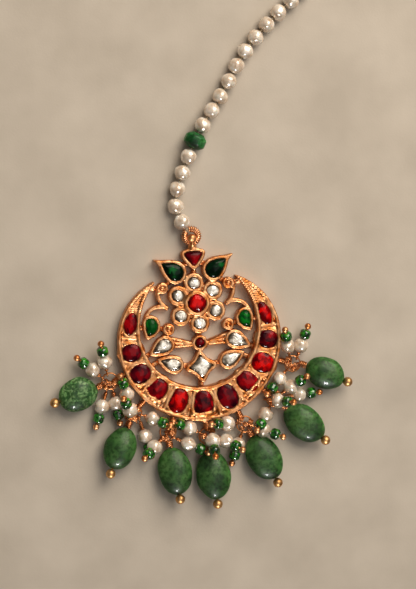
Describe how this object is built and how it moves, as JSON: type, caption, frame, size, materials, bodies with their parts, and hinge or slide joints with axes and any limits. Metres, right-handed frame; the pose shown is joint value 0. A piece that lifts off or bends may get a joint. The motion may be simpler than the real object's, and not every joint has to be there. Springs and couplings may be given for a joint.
{
  "type": "maang tikka",
  "caption": "Forehead pendant: a pierced gold crescent set with red, green and white stones, fringed with pearls and green drops, on a pearl string that ends in a hair hook.",
  "frame": {"origin": "the middle of the crescent's round outer edge, on the pendant's flat back", "axes": "+Z out of the pendant's face, +Y from the pendant's middle to its bail, +X to the right as seen from the front"},
  "size_m": [0.0787, 0.1288, 0.0089],
  "materials": {
    "gilt_metal": "warm matt-bright gold plating, hand worked",
    "gilt_wire": "reddish gold-plated wire, bright",
    "purl_wire": "fine coiled gilt wire",
    "ruby_glass": "polished, foil backed",
    "emerald_glass": "polished, foil backed",
    "kundan_glass": "clear over silver foil",
    "green_quartz": "polished, mottled and veined",
    "green_bead_glass": "polished",
    "pearl": "pearl lustre",
    "silk_thread": "twisted thread"
  },
  "bodies": {
    "root": {"frame": "gilt_metal", "gather_rings": "gilt_metal", "unit_pins": "gilt_wire", "drop_pins": "gilt_wire", "purl_ring": "purl_wire", "hair_hook": "gilt_metal", "crescent_ruby_1": "ruby_glass", "crescent_ruby_2": "ruby_glass", "crescent_ruby_3": "ruby_glass", "crescent_ruby_4": "ruby_glass", "crescent_ruby_5": "ruby_glass", "crescent_ruby_6": "ruby_glass", "crescent_ruby_7": "ruby_glass", "crescent_ruby_8": "ruby_glass", "crescent_ruby_9": "ruby_glass", "crescent_ruby_10": "ruby_glass", "crescent_ruby_11": "ruby_glass", "flower_ruby": "ruby_glass", "small_ruby": "ruby_glass", "crown_ruby": "ruby_glass", "leaf_emerald_right": "emerald_glass", "leaf_emerald_left": "emerald_glass", "half_drop_emerald_right": "emerald_glass", "half_drop_emerald_left": "emerald_glass", "star_stone": "kundan_glass", "petal_stone_1": "kundan_glass", "petal_stone_2": "kundan_glass", "petal_stone_3": "kundan_glass", "petal_stone_4": "kundan_glass", "petal_stone_5": "kundan_glass", "petal_stone_6": "kundan_glass", "upper_pear_stone_right": "kundan_glass", "upper_pear_stone_left": "kundan_glass", "lower_pear_stone_right": "kundan_glass", "lower_pear_stone_left": "kundan_glass", "green_drop_1": "green_quartz", "green_drop_2": "green_quartz", "green_drop_3": "green_quartz", "green_drop_4": "green_quartz", "green_drop_5": "green_quartz", "green_drop_6": "green_quartz", "green_drop_7": "green_quartz", "unit_pearls": "pearl", "string_pearls": "pearl", "unit_rondelles": "green_bead_glass", "string_green_bead": "green_bead_glass", "thread": "silk_thread"}
  },
  "joints": []
}
